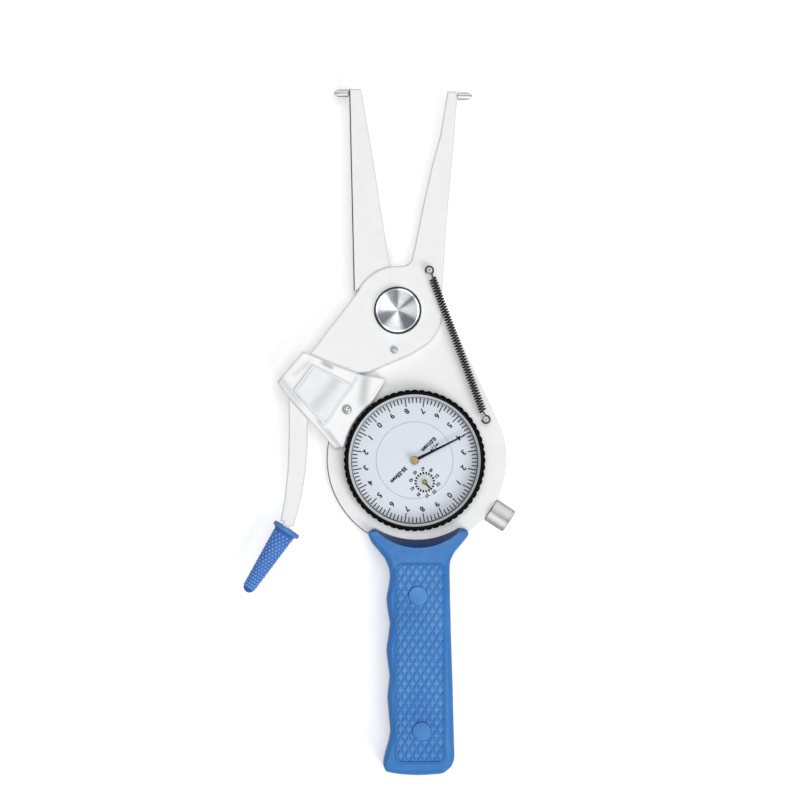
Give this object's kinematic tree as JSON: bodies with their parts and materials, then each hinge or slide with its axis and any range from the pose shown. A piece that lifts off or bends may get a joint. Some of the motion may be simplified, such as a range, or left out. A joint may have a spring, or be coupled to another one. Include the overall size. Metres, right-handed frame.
{
  "type": "dial inside caliper gauge",
  "caption": "Hand-held inside caliper gauge: one fixed and one pivoting leg with outward contact pins, thumb lever, return spring, geared dial and finger-grip handle.",
  "frame": {"origin": "where the arm's pivot axis meets the flat rear face that the gauge rests on", "axes": "+Z out of the dial face, +Y along the legs away from the handle, +X to the right when the dial is read"},
  "size_m": [0.1088, 0.2739, 0.0175],
  "materials": {
    "white_paint": "satin white stoved paint",
    "blue_plastic": "blue moulded grip",
    "blue_rubber": "blue rubber with small raised dots",
    "brushed_steel": "turned and brushed steel",
    "polished_steel": "polished hard steel",
    "dark_steel": "blackened spring wire",
    "brass": "machined brass",
    "black_paint": "satin black",
    "grey_liner": "grey sloped liner",
    "dial_enamel": "pale blue-grey dial enamel",
    "crystal": "clear crystal",
    "silver_paint": "silver finished sheet"
  },
  "bodies": {
    "frame": {"main_frame": "white_paint", "fixed_contact_pin": "polished_steel", "rear_cover": "white_paint", "rear_cover_screw_1": "brushed_steel", "rear_cover_screw_2": "brushed_steel", "rear_cover_screw_3": "brushed_steel", "rear_cover_screw_4": "brushed_steel", "pivot_bush": "brass", "frame_spring_post": "brushed_steel", "movement_plate": "brass", "movement_bridge": "brass", "movement_pillar_1": "brass", "movement_pillar_2": "brass", "movement_pillar_3": "brass", "dial_centre_disc": "dial_enamel", "lever_guard": "silver_paint", "guard_panel": "silver_paint", "guard_screw": "brushed_steel", "handle_front": "blue_plastic", "handle_rear": "blue_plastic", "handle_screw_1": "brushed_steel", "handle_screw_2": "brushed_steel", "handle_plug_1": "blue_plastic", "handle_plug_2": "blue_plastic", "return_spring": "dark_steel"},
    "arm": {"measuring_arm": "white_paint", "moving_contact_pin": "polished_steel", "pivot_spindle": "polished_steel", "pivot_cap": "brushed_steel", "drive_screw": "brushed_steel", "arm_spring_post": "brushed_steel", "sector_lever": "brushed_steel", "thumb_grip": "blue_rubber"},
    "counter": {"counter_arbor": "brass", "counter_hand": "black_paint"},
    "centre": {"centre_arbor": "polished_steel", "pointer": "black_paint", "pointer_hub": "brass"},
    "bezel_group": {"bezel": "black_paint", "bezel_liner": "grey_liner", "crystal": "crystal", "dial_ring": "dial_enamel"},
    "clamp": {"clamp_knob": "brushed_steel"}
  },
  "joints": [
    {"name": "arm_pivot", "type": "hinge", "parent": "frame", "child": "arm", "pos_m": [0, 0, 0.0118], "axis": [0, 0, 1], "range_deg": [0, 13.4], "stiffness_Nm_per_rad": 0.15, "springref_deg": -34.38, "deforming": ["return_spring"]},
    {"name": "counter_turn", "type": "hinge", "parent": "frame", "child": "counter", "pos_m": [0.01084, -0.06864, 0.006], "axis": [0, 0, 1], "range_deg": [-5, 374]},
    {"name": "pointer_turn", "type": "hinge", "parent": "frame", "child": "centre", "pos_m": [0.00676, -0.05984, 0.008], "axis": [0, 0, 1], "range_deg": [-3700, 10]},
    {"name": "bezel_turn", "type": "hinge", "parent": "frame", "child": "bezel_group", "pos_m": [0.00676, -0.05984, 0.012], "axis": [0, 0, 1], "continuous": true},
    {"name": "clamp_knob_turn", "type": "hinge", "parent": "frame", "child": "clamp", "pos_m": [0.04073, -0.0819, 0.0076], "axis": [0.8387, -0.5446, 0], "range_deg": [-180, 180]}
  ],
  "couplings": [
    {"joint": "counter_turn", "follows": "arm_pivot", "ratio": 27.5},
    {"joint": "pointer_turn", "follows": "arm_pivot", "ratio": -275}
  ]
}
